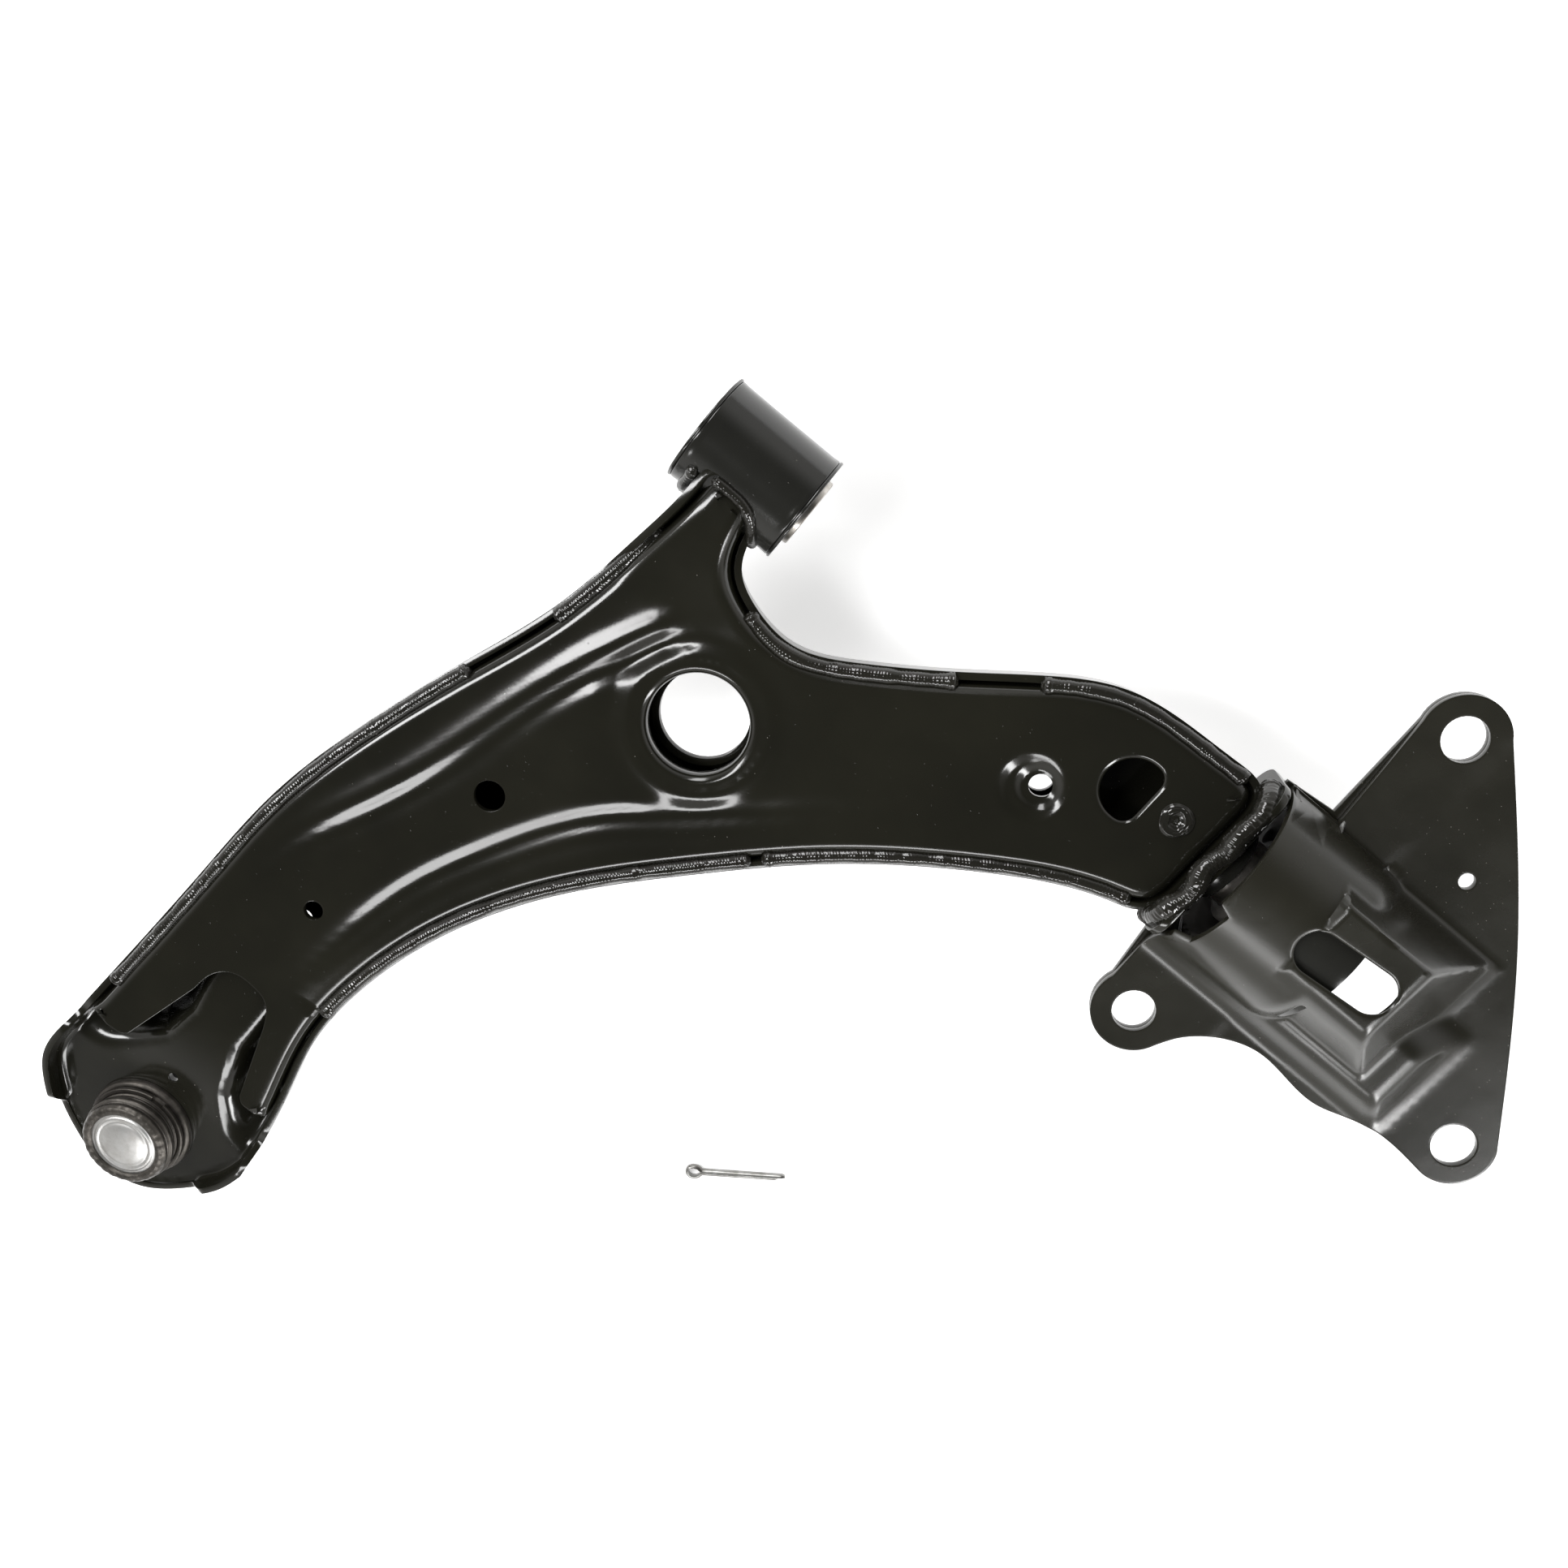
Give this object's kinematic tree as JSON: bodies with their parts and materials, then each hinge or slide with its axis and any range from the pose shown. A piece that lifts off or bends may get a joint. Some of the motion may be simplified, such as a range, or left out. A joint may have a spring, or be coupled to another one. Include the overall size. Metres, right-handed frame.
{
  "type": "suspension control arm",
  "caption": "L-shaped pressed-steel lower control arm with a bush in a welded eye, a second bush clamped in a bolt-on bracket and a ball joint with a tapered stud.",
  "frame": {"origin": "centre of the front bush's bore, on the pivot axis", "axes": "+X along the pivot axis from the front bush to the rear bush; +Z towards the cover side of the arm; the ball joint lies towards -Y and its stud points towards -Z, leaning 8 degrees"},
  "size_m": [0.4397, 0.4853, 0.0907],
  "materials": {
    "arm_paint": "gloss black dip coat over pressed sheet",
    "weld_paint": "gloss black over weld ripples",
    "bracket_paint": "semi-gloss black dip coat",
    "sleeve_paint": "black coat over drawn tube",
    "bush_rubber": "moulded matt",
    "boot_rubber": "moulded satin",
    "bare_steel": "turned, lightly oiled",
    "housing_steel": "dark phosphate, satin",
    "cap_steel": "bright zinc",
    "clip_steel": "drawn wire",
    "zinc_plate": "zinc plated",
    "seat_plastic": "moulded acetal"
  },
  "bodies": {
    "bracket": {"bracket_upper": "bracket_paint", "bracket_lower": "bracket_paint", "rear_bush_outer_sleeve": "sleeve_paint", "rear_bush_rubber": "bush_rubber"},
    "arm": {"lower_shell": "arm_paint", "upper_shell": "arm_paint", "seam_welds": "weld_paint", "plug_weld": "weld_paint", "front_bush_eye": "arm_paint", "eye_weld": "weld_paint", "front_bush_outer_sleeve": "sleeve_paint", "front_bush_rubber": "bush_rubber", "end_plate": "arm_paint", "end_plate_weld": "weld_paint", "pivot_pin": "bare_steel", "rear_bush_inner_sleeve": "bare_steel", "ball_joint_housing": "housing_steel", "ball_joint_snap_ring": "housing_steel", "ball_joint_cap": "cap_steel", "ball_seat": "seat_plastic", "boot_housing_clip": "clip_steel"},
    "front_sleeve": {"front_bush_inner_sleeve": "bare_steel"},
    "boot": {"dust_boot": "boot_rubber"},
    "boot_end": {"boot_stud_clip": "clip_steel"},
    "stud": {"ball_stud": "bare_steel", "castle_nut": "zinc_plate"},
    "loose_pin": {"cotter_pin": "zinc_plate"}
  },
  "joints": [
    {"name": "rear_pivot", "type": "hinge", "parent": "bracket", "child": "arm", "pos_m": [0.22, 0, 0], "axis": [1, 0, 0], "range_deg": [-20, 20], "stiffness_Nm_per_rad": 80},
    {"name": "front_pivot", "type": "hinge", "parent": "arm", "child": "front_sleeve", "pos_m": [0, 0, 0], "axis": [1, 0, 0], "range_deg": [-20, 20], "stiffness_Nm_per_rad": 40},
    {"name": "ball_swing", "type": "hinge", "parent": "arm", "child": "boot", "pos_m": [-0.028, -0.356, 0.001], "axis": [1, 0, 0], "range_deg": [-15, 15], "deforming": ["dust_boot"]},
    {"name": "ball_rock", "type": "hinge", "parent": "boot", "child": "boot_end", "pos_m": [-0.028, -0.356, 0.001], "axis": [0, 0.9903, 0.1392], "range_deg": [-15, 15], "deforming": ["dust_boot"]},
    {"name": "ball_spin", "type": "hinge", "parent": "boot_end", "child": "stud", "pos_m": [-0.028, -0.356, 0.001], "axis": [0, -0.1392, 0.9903], "continuous": true},
    {"name": "pin_lift", "type": "slide", "parent": "bracket", "child": "loose_pin", "axis": [0, 0, 1], "range_m": [0, 0.05]}
  ]
}
